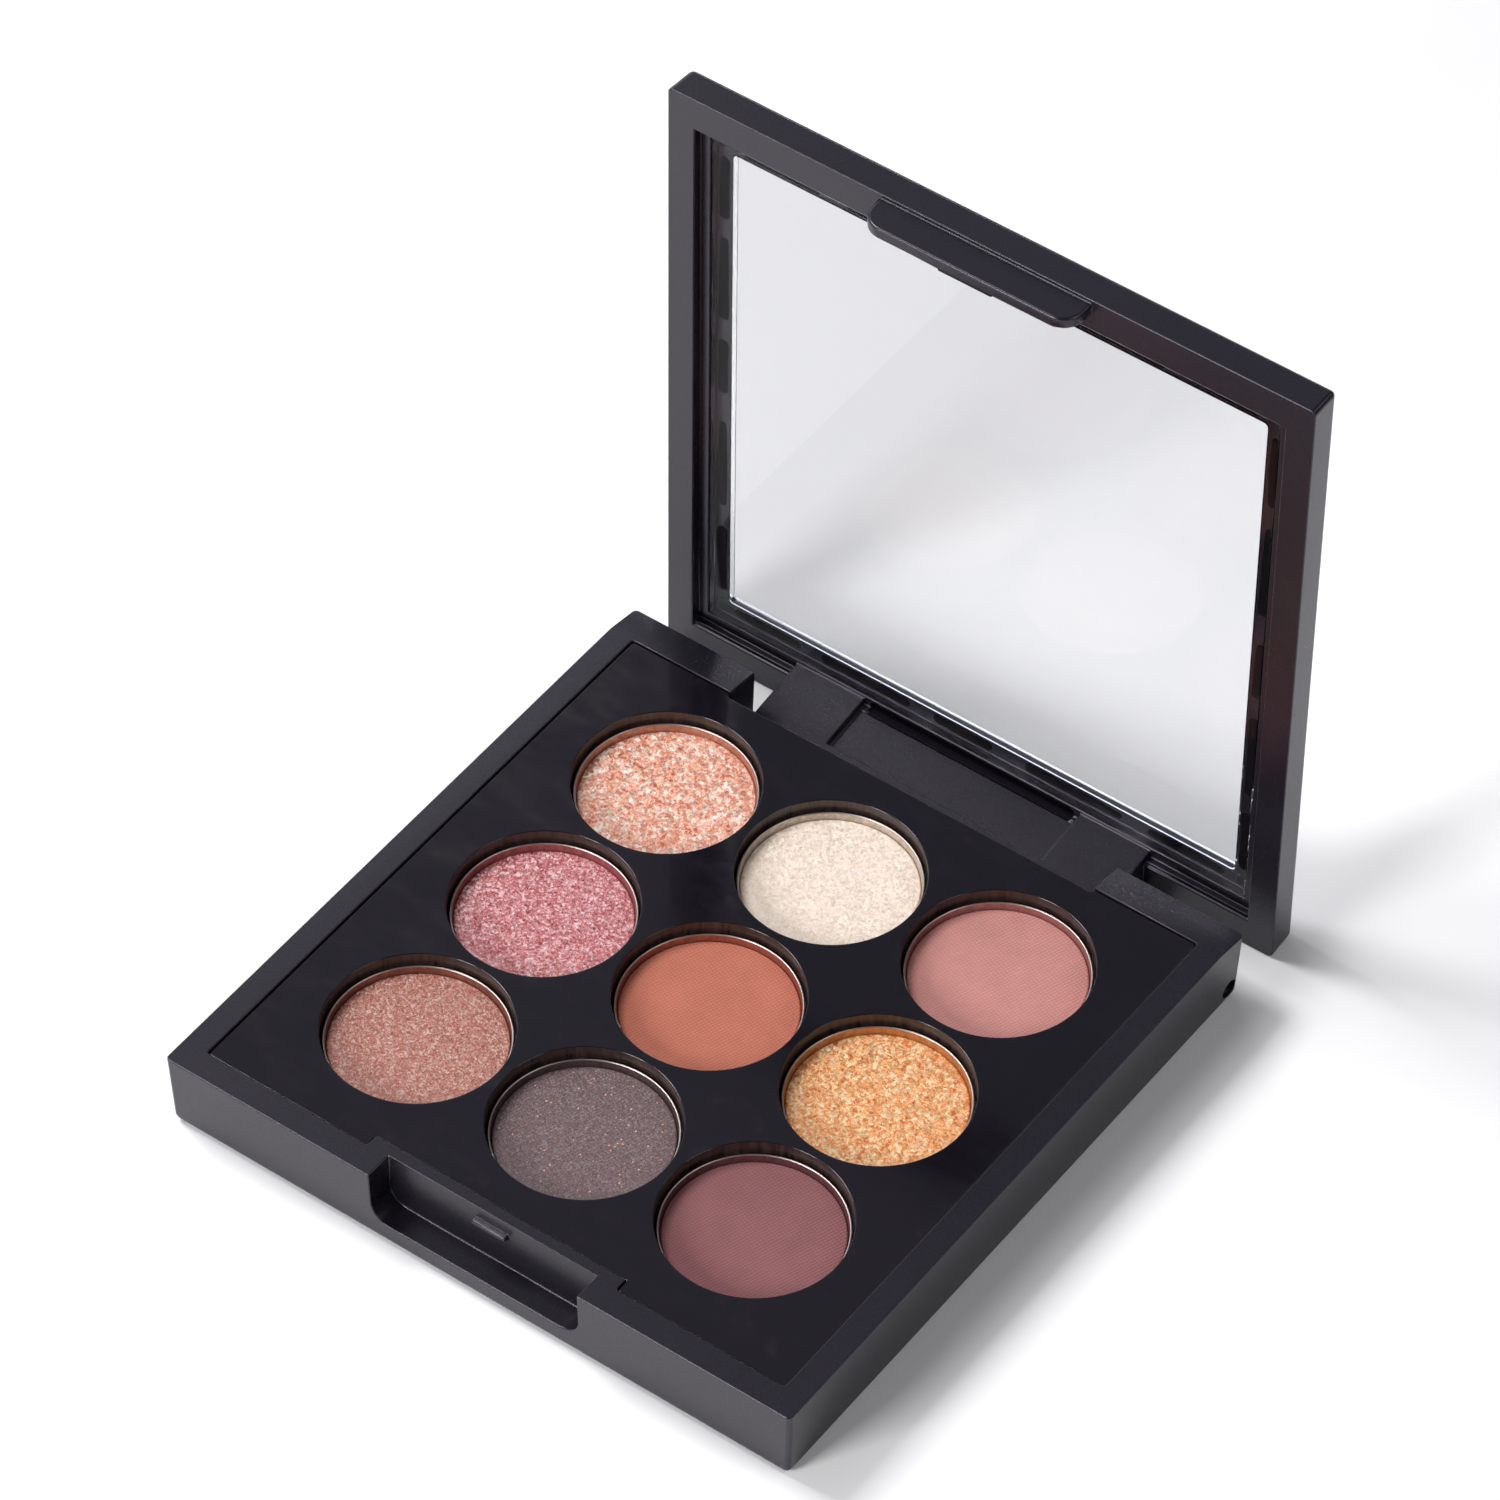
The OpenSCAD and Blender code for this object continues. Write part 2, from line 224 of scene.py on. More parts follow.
def pick(piece, kind, test):
    """Selects the edges or faces that pass a test and enters edit mode."""
    work_on(piece)
    bpy.ops.object.mode_set(mode="EDIT")
    bpy.ops.mesh.select_mode(type=kind)
    bpy.ops.mesh.select_all(action="DESELECT")
    bpy.ops.object.mode_set(mode="OBJECT")
    points = piece.data.vertices
    if kind == "EDGE":
        for edge in piece.data.edges:
            edge.select = test(*(points[i].co for i in edge.vertices))
    else:
        for face in piece.data.polygons:
            face.select = test(face)
    bpy.ops.object.mode_set(mode="EDIT")


def pick_all(piece):
    """Enters edit mode with the whole piece selected."""
    work_on(piece)
    bpy.ops.object.mode_set(mode="EDIT")
    bpy.ops.mesh.select_all(action="SELECT")


def done():
    """Leaves edit mode."""
    bpy.ops.object.mode_set(mode="OBJECT")


def near(a, b, slack=1e-6):
    """True for two numbers that are the same but for rounding."""
    return abs(a - b) < slack


def upright(a, b):
    """True for an edge that runs along Z, allowing for draft."""
    return (a - b).length > 1e-6 and abs((a - b).normalized().z) > 0.95


def level_at(z):
    """A test for edges that lie at one height."""
    return lambda a, b: near(a.z, z) and near(b.z, z)


def round_edges(piece, test, radius, segments=5):
    """Rounds the edges that pass a test."""
    pick(piece, "EDGE", test)
    bpy.ops.mesh.bevel(offset_type="OFFSET", offset=radius, segments=segments, profile=0.5,
                       affect="EDGES")
    done()


def apply_modifier(piece, kind, **values):
    """Adds a modifier with the values given and applies it."""
    work_on(piece)
    modifier = piece.modifiers.new(kind.lower(), kind)
    for key, value in values.items():
        setattr(modifier, key, value)
    bpy.ops.object.modifier_apply(modifier=modifier.name)


def combine(piece, tool, operation):
    """Combines a tool with a piece and throws the tool away."""
    apply_modifier(piece, "BOOLEAN", operation=operation, object=tool, solver="EXACT")
    bpy.data.objects.remove(tool)


def cut(piece, tool):
    """Takes a tool's shape out of a piece."""
    combine(piece, tool, "DIFFERENCE")


def join_on(piece, tool):
    """Adds a tool's shape to a piece."""
    combine(piece, tool, "UNION")


def finish_edges(piece, width, segments=3):
    """Breaks every sharp edge, as moulding does, and shades the flats flat."""
    pick_all(piece)
    bpy.ops.mesh.remove_doubles(threshold=weld)
    bpy.ops.mesh.dissolve_limited(angle_limit=math.radians(1))
    bpy.ops.mesh.normals_make_consistent(inside=False)
    done()
    apply_modifier(piece, "BEVEL", width=width, segments=segments, limit_method="ANGLE",
                   angle_limit=SHARP, use_clamp_overlap=False)
    work_on(piece)
    bpy.ops.object.shade_smooth_by_angle(angle=SHARP)
    apply_modifier(piece, "WEIGHTED_NORMAL", keep_sharp=True, weight=60)


def turn_open(piece):
    """Turns a piece described closed about the hinge into the open lid."""
    pick_all(piece)
    bpy.ops.transform.rotate(value=math.pi / 2, orient_axis="X", center_override=hinge)
    done()


def settle(piece, shift, turn=0.0):
    """Turns a piece about Z, moves it, and puts its new place in its mesh."""
    work_on(piece)
    piece.rotation_euler.z = turn
    piece.location = shift
    bpy.ops.object.transform_apply(location=True, rotation=True, scale=True)


def joined(name, parts):
    """Makes one object of several."""
    nothing_selected()
    for part in parts:
        part.select_set(True)
    bpy.context.view_layer.objects.active = parts[0]
    bpy.ops.object.join()
    parts[0].name = name
    return parts[0]


def copy_of(piece, name):
    """A copy of a piece with its own mesh."""
    twin = piece.copy()
    twin.data = piece.data.copy()
    twin.name = name
    twin.data.name = name
    bpy.context.scene.collection.objects.link(twin)
    return twin


def paint(piece, *materials):
    """Gives a piece its materials; its faces use the first unless told otherwise."""
    piece.data.materials.clear()
    for material in materials:
        piece.data.materials.append(material)


def place(piece, body, slot, *nodes):
    """Says what a piece rides on and which nodes it stands for, which are hidden; slot is not used."""
    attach(piece, body)
    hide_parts(*nodes)


# ---------------------------------------------------------------- material helpers
class Recipe:
    """A node material with short calls for the nodes that this palette uses."""

    def __init__(self, name):
        self.material = bpy.data.materials.new(name)
        self.material.use_nodes = True
        self.tree = self.material.node_tree
        self.shader = self.tree.nodes["Principled BSDF"]
        self.where = self.node("ShaderNodeTexCoord").outputs["Object"]

    def node(self, kind, **values):
        """Adds a node and sets its options."""
        made = self.tree.nodes.new(kind)
        for key, value in values.items():
            setattr(made, key, value)
        return made

    def feed(self, socket, value):
        """Links an output to a socket, or sets the socket's own value."""
        if isinstance(value, bpy.types.NodeSocket):
            self.tree.links.new(value, socket)
        else:
            socket.default_value = value

    def set(self, name, value):
        """Feeds one of the shader's sockets."""
        self.feed(self.shader.inputs[name], value)

    def noise(self, size, detail=2.0, rough=0.5, stretch=None, swirl=0.0):
        """Soft noise whose features are about size across."""
        made = self.node("ShaderNodeTexNoise")
        made.inputs["Scale"].default_value = 1 / size
        made.inputs["Distortion"].default_value = swirl
        made.inputs["Detail"].default_value = detail
        made.inputs["Roughness"].default_value = rough
        self.feed(made.inputs["Vector"], self.stretched(stretch) if stretch else self.where)
        return made.outputs["Fac"]

    def stretched(self, stretch, turn=0.0):
        """Object coordinates scaled along each axis and turned about Z."""
        made = self.node("ShaderNodeMapping")
        made.inputs["Scale"].default_value = stretch
        made.inputs["Rotation"].default_value = (0, 0, turn)
        self.feed(made.inputs["Vector"], self.where)
        return made.outputs["Vector"]

    def cells(self, size, output):
        """Cells about size across: a random Color for each, or the Distance from its middle."""
        made = self.node("ShaderNodeTexVoronoi", feature="F1")
        made.inputs["Scale"].default_value = 1 / size
        self.feed(made.inputs["Vector"], self.where)
        return made.outputs[output]

    def ramp(self, value, *stops):
        """Maps a value through (position, colour) stops."""
        made = self.node("ShaderNodeValToRGB")
        band = made.color_ramp.elements
        while len(band) < len(stops):
            band.new(0.5)
        for element, (position, colour) in zip(band, stops):
            element.position = position
            element.color = (*colour, 1) if isinstance(colour, tuple) else (colour, colour, colour, 1)
        self.feed(made.inputs["Fac"], value)
        return made.outputs["Color"]

    def spread(self, value, low, high, start=0.0, end=1.0):
        """Maps a value from start..end onto low..high."""
        made = self.node("ShaderNodeMapRange")
        for name, number in (("From Min", start), ("From Max", end), ("To Min", low), ("To Max", high)):
            made.inputs[name].default_value = number
        self.feed(made.inputs["Value"], value)
        return made.outputs["Result"]

    def mix(self, share, a, b):
        """Blends from colour a to colour b."""
        made = self.node("ShaderNodeMix", data_type="RGBA", blend_type="MIX")
        for socket, value in ((made.inputs[0], share), (made.inputs[6], a), (made.inputs[7], b)):
            self.feed(socket, (*value, 1) if isinstance(value, tuple) else value)
        return made.outputs[2]

    def sum(self, a, b, how="ADD"):
        """Adds two values, or combines them in another way."""
        made = self.node("ShaderNodeMath", operation=how)
        self.feed(made.inputs[0], a)
        self.feed(made.inputs[1], b)
        return made.outputs[0]

    def bump(self, height, depth, strength=1.0, normal=None):
        """A bump whose full height is depth metres."""
        made = self.node("ShaderNodeBump")
        made.inputs["Strength"].default_value = strength
        made.inputs["Distance"].default_value = depth
        self.feed(made.inputs["Height"], height)
        if normal:
            self.feed(made.inputs["Normal"], normal)
        return made.outputs["Normal"]


def satin_plastic():
    """Black moulding with a fine spark-eroded grain."""
    mould = Recipe("satin_plastic")
    grain = mould.noise(0.16 * MM, detail=3.0, rough=0.6)
    cloud = mould.noise(9 * MM)
    mould.set("Base Color", mould.mix(cloud, (0.0052, 0.0044, 0.0078), (0.0074, 0.0063, 0.0104)))
    mould.set("Roughness", mould.spread(grain, 0.24, 0.33))
    mould.shader.inputs["IOR"].default_value = 1.54
    mould.shader.inputs["Specular Tint"].default_value = (0.94, 0.89, 1.0, 1)
    mould.set("Normal", mould.bump(grain, 0.012 * MM, strength=0.6))
    return mould.material


def polished_plastic():
    """Glossy black tray with faint wipe marks and specks of dust."""
    mould = Recipe("polished_plastic")
    smear = mould.noise(6 * MM, detail=4.0, rough=0.6, stretch=(1, 2.2, 1))
    haze = mould.ramp(mould.noise(4 * MM, detail=5.0, rough=0.65), (0.60, 0.0), (0.85, 0.25))
    dust = mould.cells(0.9 * MM, "Distance")
    specks = mould.ramp(dust, (0.0, 1.0), (0.035, 1.0), (0.06, 0.0))
    sparse = mould.ramp(mould.noise(3 * MM, detail=1.0), (0.60, 0.0), (0.66, 1.0))
    film = mould.sum(mould.sum(specks, sparse, "MULTIPLY"), haze, "MAXIMUM")
    mould.set("Base Color", mould.mix(film, (0.0055, 0.0045, 0.0075), (0.045, 0.038, 0.038)))
    mould.set("Roughness", mould.spread(smear, 0.06, 0.20, start=0.3, end=0.75))
    waviness = mould.noise(14 * MM, detail=1.0)
    mould.set("Normal", mould.bump(waviness, 0.02 * MM, strength=0.3))
    return mould.material


def well_painted_reflection():
    """Wall of a tray hole: black plastic painted a streaked brown, a painted reflection of the powder in
    the pans.
    """
    wall = Recipe("well_painted_reflection")
    streaks = wall.noise(0.5 * MM, detail=3.0, rough=0.65, stretch=(1, 1, 0.15))
    # brown in place of the powder's reflection in the glossy wall: painted reflection
    wall.set("Base Color", wall.ramp(streaks, (0.32, (0.010, 0.006, 0.006)), (0.68, (0.050, 0.027, 0.022))))
    wall.set("Roughness", wall.spread(streaks, 0.20, 0.42))
    return wall.material


def plain(name, colour, roughness, metallic=0.0):
    """A finish with only slight colour mottling and a fine grain."""
    finish = Recipe(name)
    mottle = finish.noise(1.2 * MM, detail=3.0)
    darker = tuple(c * 0.82 for c in colour)
    finish.set("Base Color", finish.mix(mottle, darker, colour))
    finish.set("Roughness", finish.spread(finish.noise(0.3 * MM), roughness * 0.85, roughness * 1.15))
    finish.shader.inputs["Metallic"].default_value = metallic
    return finish.material


def clear_plastic():
    """Clear pane: it refracts what is seen through it and lets lamps through."""
    pane = Recipe("clear_plastic")
    pane.shader.inputs["Base Color"].default_value = (0.70, 0.703, 0.712, 1)
    pane.shader.inputs["Transmission Weight"].default_value = 1.0
    pane.shader.inputs["IOR"].default_value = 1.2
    pane.shader.inputs["Roughness"].default_value = 0.0
    lamp = pane.node("ShaderNodeLightPath").outputs["Is Shadow Ray"]
    open_way = pane.node("ShaderNodeBsdfTransparent")
    open_way.inputs["Color"].default_value = (0.94, 0.945, 0.955, 1)
    both = pane.node("ShaderNodeMixShader")
    pane.feed(both.inputs[0], lamp)
    pane.feed(both.inputs[1], pane.shader.outputs[0])
    pane.feed(both.inputs[2], open_way.outputs[0])
    pane.feed(pane.tree.nodes["Material Output"].inputs["Surface"], both.outputs[0])
    return pane.material


def cloth_print(cake):
    """Height of the diagonal print left by the cloth that a cake was pressed through."""
    threads = []
    warp_turn, warp_pitch, weft_pitch = 0.35, 0.36 * MM, 0.42 * MM
    for turn, pitch in ((warp_turn, warp_pitch), (warp_turn + math.pi / 2, weft_pitch)):
        band = cake.node("ShaderNodeTexWave", wave_type="BANDS", bands_direction="X", wave_profile="SIN")
        # at scale 1 a band repeats every 2 pi / 20
        band.inputs["Scale"].default_value = 2 * math.pi / (20 * pitch)
        band.inputs["Distortion"].default_value = 0.8
        band.inputs["Detail"].default_value = 1.0
        band.inputs["Detail Scale"].default_value = 0.3
        cake.feed(band.inputs["Vector"], cake.stretched((1, 1, 1), turn))
        threads.append(band.outputs["Fac"])
    return cake.sum(threads[0], cake.spread(threads[1], 0.35, 1.0), "MULTIPLY")


def matte_powder(name, colour):
    """Pressed matte powder with a cloth print and soft patches; the print's hollows get painted shade and
    its crests a painted highlight.
    """
    cake = Recipe(name)
    cloth = cloth_print(cake)
    grain = cake.noise(0.09 * MM, detail=3.0, rough=0.7)
    patch = cake.noise(5 * MM, detail=3.0, rough=0.55)
    dark = tuple(c * 0.84 for c in colour)
    light = tuple(min(1, c * 1.12) for c in colour)
    tone = cake.mix(cake.spread(patch, 0.15, 0.85, start=0.3, end=0.7), dark, light)
    # painted shade in the cloth print's hollows and painted highlight on its crests
    hollow = cake.mix(0.22, tone, tuple(c * 0.4 for c in colour))
    raised = cake.mix(0.5, tone, tuple(c * 1.2 for c in colour))
    print_light_and_shade = cake.mix(cloth, hollow, raised)
    loose = cake.spread(grain, 0.0, 0.5, start=0.45, end=0.8)
    cake.set("Base Color", cake.mix(loose, print_light_and_shade, dark))
    cake.set("Roughness", cake.spread(grain, 0.75, 0.95))
    cake.shader.inputs["Specular IOR Level"].default_value = 0.25
    cake.shader.inputs["Sheen Weight"].default_value = 0.1
    cake.shader.inputs["Sheen Roughness"].default_value = 0.5
    threads = cake.bump(cloth, 0.06 * MM, strength=0.9)
    cake.set("Normal", cake.bump(grain, 0.015 * MM, strength=0.8, normal=threads))
    return cake.material


def sparkle_powder(name, body, flake, contrast, glint, tilt, fleck=None, pale=(1.0, 0.95, 0.85)):
    """Pressed glitter: every flake has its own tone, tilt and share of mirror shine; the lightest tone is
    partly the flakes' own and partly painted glint.

    flake is the flakes' size in millimetres, pale the share of each colour by which they lighten,
    and fleck the colour of a few larger flecks on a cloth print.
    """
    cake = Recipe(name)
    dark = tuple(c ** (1 + 1.1 * contrast) for c in body)
    # light flakes: partly a paler tone of their own and partly painted glints of the glitter
    light = tuple(c + (1.0 - c) * contrast * share for c, share in zip(body, pale))
    coarse, fine = cake.cells(flake * MM, "Color"), cake.cells(flake * 0.45 * MM, "Color")
    channels = []
    for tone in (coarse, fine):
        channels.append(cake.node("ShaderNodeSeparateColor"))
        cake.feed(channels[-1].inputs["Color"], tone)
    # tone: ragged clumps of flakes with finer flakes scattered over them
    clumps = cake.noise(flake * 2.4 * MM, detail=4.0, rough=0.7, swirl=1.2)
    ragged = cake.sum(clumps, cake.spread(channels[0].outputs["Red"], -0.15, 0.15))
    clumped = cake.ramp(ragged, (0.34, dark), (0.44, body), (0.55, body), (0.64, light))
    deep = cake.ramp(channels[1].outputs["Red"], (0.25, dark), (0.60, body), (0.90, light))
    mixed = cake.mix(0.35, clumped, deep)
    if fleck:
        fleck_pitch = 0.55 * MM
        spot = cake.ramp(cake.cells(fleck_pitch, "Distance"), (0.0, 1.0), (0.16, 1.0), (0.21, 0.0))
        chosen = cake.node("ShaderNodeSeparateColor")
        cake.feed(chosen.inputs["Color"], cake.cells(fleck_pitch, "Color"))
        few = cake.ramp(chosen.outputs["Red"], (0.80, 0.0), (0.82, 1.0))
        # painted shade in the hollows of the cloth print
        print_light_and_shade = cake.mix(cloth_print(cake), tuple(c * 0.55 for c in body), mixed)
        mixed = cake.mix(cake.sum(spot, few, "MULTIPLY"), cake.mix(0.5, mixed, print_light_and_shade), fleck)
    cake.set("Base Color", mixed)
    # tilt: every flake leans its own way
    lean = cake.node("ShaderNodeVectorMath", operation="SUBTRACT")
    cake.feed(lean.inputs[0], cake.mix(0.5, coarse, fine))
    lean.inputs[1].default_value = (0.5, 0.5, 0.5)
    scaled = cake.node("ShaderNodeVectorMath", operation="SCALE")
    cake.feed(scaled.inputs[0], lean.outputs[0])
    scaled.inputs["Scale"].default_value = tilt * 2
    added = cake.node("ShaderNodeVectorMath", operation="ADD")
    cake.feed(added.inputs[0], cake.node("ShaderNodeNewGeometry").outputs["Normal"])
    cake.feed(added.inputs[1], scaled.outputs[0])
    unit = cake.node("ShaderNodeVectorMath", operation="NORMALIZE")
    cake.feed(unit.inputs[0], added.outputs[0])
    cake.set("Normal", cake.bump(clumps, 0.10 * MM, strength=0.6, normal=unit.outputs[0]))
    # shine: some flakes are part mirror
    cake.set("Metallic", cake.ramp(channels[0].outputs["Green"], (0.55, 0.0), (0.60, glint)))
    cake.set("Roughness", cake.spread(channels[1].outputs["Green"], 0.28, 0.60))
    cake.shader.inputs["Specular IOR Level"].default_value = 0.3
    return cake.material


def dusted_metal(name, colour):
    """Inner wall of a pan: aluminium with a film of its powder."""
    wall = Recipe(name)
    film = wall.ramp(wall.noise(0.8 * MM, detail=4.0, rough=0.7), (0.30, 0.0), (0.62, 1.0))
    thin, thick = tuple(0.9 * c ** 0.8 for c in colour), tuple(0.6 * c ** 1.2 for c in colour)
    wall.set("Base Color", wall.mix(film, thin, thick))
    wall.set("Metallic", wall.spread(film, 1.0, 0.5))
    wall.set("Roughness", wall.spread(film, 0.30, 0.55))
    return wall.material


# Linear colours of the powders
MATTES = {
    "front_right": (0.237, 0.091, 0.096),
    "middle_centre": (0.476, 0.150, 0.096),
    "back_right": (0.513, 0.223, 0.199),
}
SPARKLES = {
    "front_left": dict(body=(0.368, 0.133, 0.096), flake=0.20, contrast=0.40, glint=0.25, tilt=0.3),
    "front_centre": dict(body=(0.150, 0.091, 0.098), flake=0.16, contrast=0.22, glint=0.12, tilt=0.25,
                         fleck=(0.70, 0.36, 0.23)),
    "middle_left": dict(body=(0.47, 0.142, 0.150), flake=0.27, contrast=0.80, glint=0.25, tilt=0.45,
                        pale=(1.0, 0.72, 0.74)),
    "middle_right": dict(body=(0.70, 0.32, 0.115), flake=0.34, contrast=0.88, glint=0.25, tilt=0.45,
                         pale=(1.0, 0.80, 0.50)),
    "back_left": dict(body=(0.68, 0.32, 0.215), flake=0.42, contrast=0.95, glint=0.25, tilt=0.45,
                      pale=(1.0, 0.90, 0.78)),
    "back_centre": dict(body=(0.76, 0.64, 0.535), flake=0.34, contrast=0.45, glint=0.15, tilt=0.3),
}
SLOTS = {
    "front_left": "powder_bronze",
    "front_centre": "powder_charcoal",
    "front_right": "powder_plum",
    "middle_left": "powder_mauve",
    "middle_centre": "powder_terracotta",
    "middle_right": "powder_gold",
    "back_left": "powder_rose_gold",
    "back_centre": "powder_champagne",
    "back_right": "powder_dusty_pink",
}

satin = satin_plastic()
polished = polished_plastic()
aluminium = plain("drawn_aluminium", (0.50, 0.45, 0.43), 0.38, metallic=1.0)
# hole walls painted brown as a painted reflection of the powder
well_reflection_paint = well_painted_reflection()
steel = plain("pin_steel", (0.42, 0.42, 0.43), 0.3, metallic=1.0)
glue = plain("cured_glue", (0.62, 0.60, 0.52), 0.4)
window_adhesive = plain("window_adhesive", (0.006, 0.005, 0.006), 0.6)
window_adhesive.node_tree.nodes["Principled BSDF"].inputs["Specular IOR Level"].default_value = 0.0
clear = clear_plastic()
# opaque pale finish for one edge of the clear pane: a painted highlight
painted_edge_highlight = plain("painted_edge_highlight", (0.80, 0.86, 1.0), 0.25)
powder_materials = {spot: matte_powder("matte_" + spot, colour) for spot, colour in MATTES.items()}
powder_materials.update({spot: sparkle_powder("sparkle_" + spot, **tones)
                         for spot, tones in SPARKLES.items()})
tints = {spot: dusted_metal("dusted_" + spot, MATTES.get(spot) or SPARKLES[spot]["body"])
         for spot in PLACES}


# ---------------------------------------------------------------- base case
def leaning_block(name, low, high, draft, end, edge_r):
    """A block whose walls lean in towards one end, with that end's edges rounded."""
    block = box(name, low, high)
    pick(block, "FACE", lambda face: near(face.center.z, end))
    middle = (Vector(low) + Vector(high)) / 2
    width, depth = high[0] - low[0], high[1] - low[1]
    bpy.ops.transform.resize(value=(1 - 2 * draft / width, 1 - 2 * draft / depth, 1),
                             center_override=(middle.x, middle.y, end))
    done()
    full_r = 2 * MM
    for radius, test in ((corner_r, upright), (edge_r, level_at(end))):
        pick(block, "EDGE", test)
        bpy.ops.transform.edge_bevelweight(value=radius / full_r)
        done()
    apply_modifier(block, "BEVEL", limit_method="WEIGHT", width=full_r, segments=5)
    return block


def base_case():
    """Case with its tray recess, hinge ears, thumb notch and pin holes."""
    case = leaning_block("base_shell", base_low, base_high, base_draft, base_low.z, foot_r)
    # the ear tops and the rims beside them slope down to the back
    pick_all(case)
    slope = Vector((0, ear_slope, half_d - ear_front)).normalized()
    bpy.ops.mesh.bisect(plane_co=(0, ear_front, rim_z), plane_no=slope, clear_outer=True,
                        use_fill=True)
    done()
    bed_x = tray_high.x + tray_gap
    above = rim_z + past
    bed = box("tray_bed", (-bed_x, step_y - tray_gap, floor_t), (bed_x, ear_front, above))
    round_edges(bed, upright, bed_corner_r, 3)
    cut(case, bed)
    # the tray reaches further forward on both sides of the notch
    for side in (-1, 1):
        inner, outer = side * (step_x - tray_gap), side * bed_x
        pocket = box("pocket", (min(inner, outer), tray_low.y - tray_gap, floor_t),
                     (max(inner, outer), step_y + past, above))
        round_edges(pocket, upright, bed_corner_r, 3)
        cut(case, pocket)
    cut(case, box("hinge_gap", (-ear_gap_x, back_wall_y, -past), (ear_gap_x, half_d + past, above)))
    notch = box("notch", (-notch_x, -half_d - past, notch_z), (notch_x, notch_y, above))
    round_edges(notch, lambda a, b: level_at(notch_z)(a, b) and near(a.x, b.x), notch_r, 8)
    cut(case, notch)
    join_on(case, box("back_wall", (-ear_gap_x - past, back_wall_y - back_wall_t, back_wall_foot),
                      (ear_gap_x + past, back_wall_y, back_wall_top)))
    for side in (-1, 1):
        centre = (side * pin_hole_x, hinge.y, hinge.z)
        cut(case, rod("pin_hole", centre, pin_r + pin_play, pin_hole_l, "X", 48))
    join_on(case, catch_bump())
    finish_edges(case, case_edge_r)
    paint(case, satin)
    place(case, "base", "case_plastic", "base_case")


def catch_bump():
    """Bump on the notch's back wall that holds the lid's ridge."""
    bump = box("catch_bump", (-catch_x, notch_y - catch_reach, catch_z[0]),
               (catch_x, notch_y + catch_root, catch_z[1]))
    pick(bump, "FACE", lambda face: face.normal.y < -0.9)
    bpy.ops.transform.resize(value=catch_taper, center_override=(0, notch_y, catch_crest_z))
    done()
    return bump


# ---------------------------------------------------------------- tray
def pan_tray():
    """Tray plate with a tube under each hole and four posts between them."""
    tray = box("tray_insert", (tray_low.x, tray_low.y, tray_high.z - tray_t), tray_high)
    above = tray_high.z + past
    cut(tray, box("front_step", (-step_x, tray_low.y - past, 0), (step_x, step_y, above)))
    cut(tray, box("hinge_step", (-ear_gap_x, tray_back_step_y, 0), (ear_gap_x, half_d, above)))
    round_edges(tray, upright, tray_corner_r, 3)
    centres = [(pan_boxes[spot][0] + pan_boxes[spot][1]) / 2 for spot in PLACES]
    depth = tray_high.z - tray_t / 2 - tray_low.z
    middle_z = tray_low.z + depth / 2
    for centre in centres:
        join_on(tray, rod("tube", (centre.x, centre.y, middle_z), well_r + well_wall, depth, "Z", 96))
    for x in (-0.5, 0.5):
        for y in (-0.5, 0.5):
            join_on(tray, rod("post", (x * pan_pitch, y * pan_pitch, middle_z), post_r, depth))
    for centre in centres:
        for name, z in (("well", well_floor + well_bore_l / 2),
                        ("hollow", well_floor - well_floor_t - well_bore_l / 2)):
            cut(tray, rod(name, (centre.x, centre.y, z), well_r, well_bore_l, "Z", 96))
    finish_edges(tray, tray_edge_r)
    paint(tray, polished, well_reflection_paint)
    # the walls of the holes carry the brown painted reflection of the powder
    for face in tray.data.polygons:
        nearest = min(math.hypot(face.center.x - centre.x, face.center.y - centre.y)
                      for centre in centres)
        if near(nearest, well_r, 0.05 * MM) and abs(face.normal.z) < 0.3:
            face.material_index = 1
    place(tray, "base", "tray_plastic", "pan_tray")


# ---------------------------------------------------------------- turned parts: pans and powders
def turned(name, outline, centre, steps, rings=1):
    """Spins an outline of (radius, height) points about an upright axis, its first run cut into rings."""
    nothing_selected()
    bpy.ops.mesh.primitive_plane_add(size=MM)
    piece = new_piece(name)
    bpy.ops.object.mode_set(mode="EDIT")
    bpy.ops.mesh.select_mode(type="VERT")
    bpy.ops.mesh.select_all(action="SELECT")
    bpy.ops.mesh.merge(type="CENTER")
    points = [Vector((r, 0, z)) for r, z in outline]
    bpy.ops.transform.translate(value=points[0])
    for here, there in zip(points, points[1:]):
        bpy.ops.mesh.extrude_vertices_move(TRANSFORM_OT_translate={"value": there - here})
        if here == points[0] and rings > 1:
            bpy.ops.mesh.select_all(action="SELECT")
            bpy.ops.mesh.subdivide(number_cuts=rings - 1)
            bpy.ops.mesh.select_all(action="DESELECT")
            done()
            for point in piece.data.vertices:
                point.select = (point.co - there).length < 1e-7
            bpy.ops.object.mode_set(mode="EDIT")
    bpy.ops.mesh.select_all(action="SELECT")
    bpy.ops.mesh.spin(steps=steps, angle=2 * math.pi, center=(0, 0, 0), axis=(0, 0, 1))
    bpy.ops.mesh.select_all(action="SELECT")
    bpy.ops.mesh.remove_doubles(threshold=fine_weld)
    bpy.ops.mesh.normals_make_consistent(inside=False)
    bpy.ops.transform.translate(value=centre)
    done()
    bpy.ops.object.shade_smooth()
    return piece


def arc(cx, cz, radius, start, end, steps):
    """Points round an arc, angles in degrees from the outward direction."""
    turns = [math.radians(start + (end - start) * i / steps) for i in range(steps + 1)]
    return [(cx + radius * math.cos(t), cz + radius * math.sin(t)) for t in turns]


